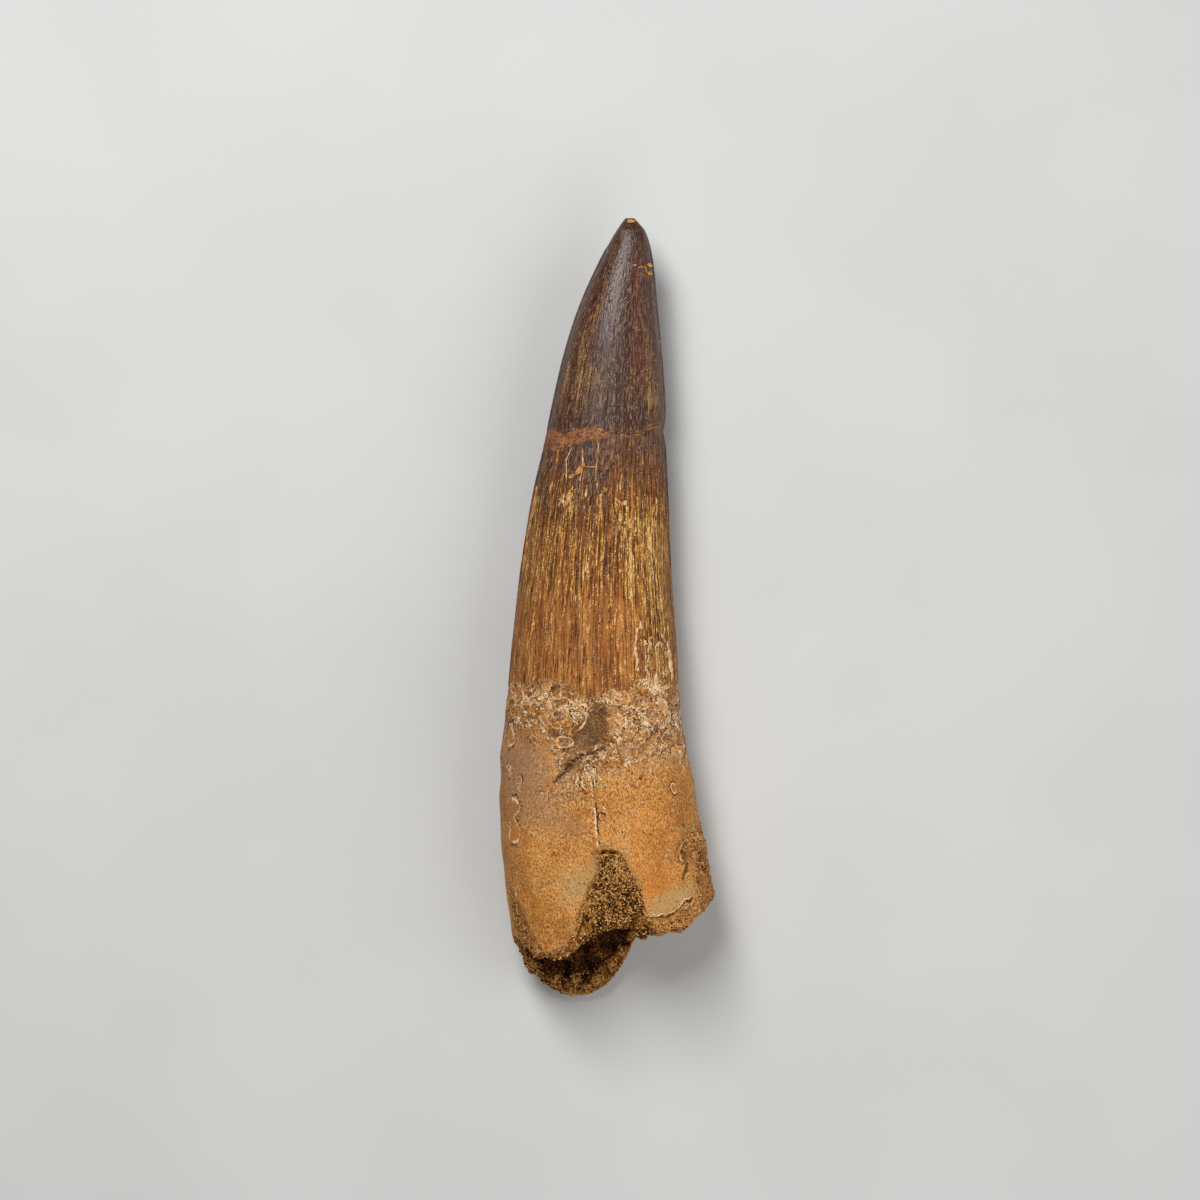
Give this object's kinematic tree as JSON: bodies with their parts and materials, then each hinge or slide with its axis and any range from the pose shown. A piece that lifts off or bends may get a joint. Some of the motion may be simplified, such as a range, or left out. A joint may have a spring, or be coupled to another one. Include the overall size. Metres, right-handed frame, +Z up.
{
  "type": "fossil spinosaurus tooth",
  "caption": "Fossil dinosaur tooth with a fluted conical crown, a stout broken root and cemented sand in its hollow, lying on the flat spot of its root.",
  "frame": {"origin": "middle of the footprint, on the surface that the tooth lies on", "axes": "+Y from the broken root towards the tip, +Z up out of the tongue side of the tooth, which is the side with the sand-filled notch, +X towards the rear cutting edge"},
  "size_m": [0.0385, 0.1391, 0.0255],
  "materials": {
    "fossil_tooth": "satin: glossy dark brown enamel at the tip, streaky golden brown below it, matt ochre root",
    "sandstone": "matt, gritty brown cemented sand"
  },
  "bodies": {
    "root": {"tooth": "fossil_tooth", "sandstone_plug": "sandstone"}
  },
  "joints": []
}
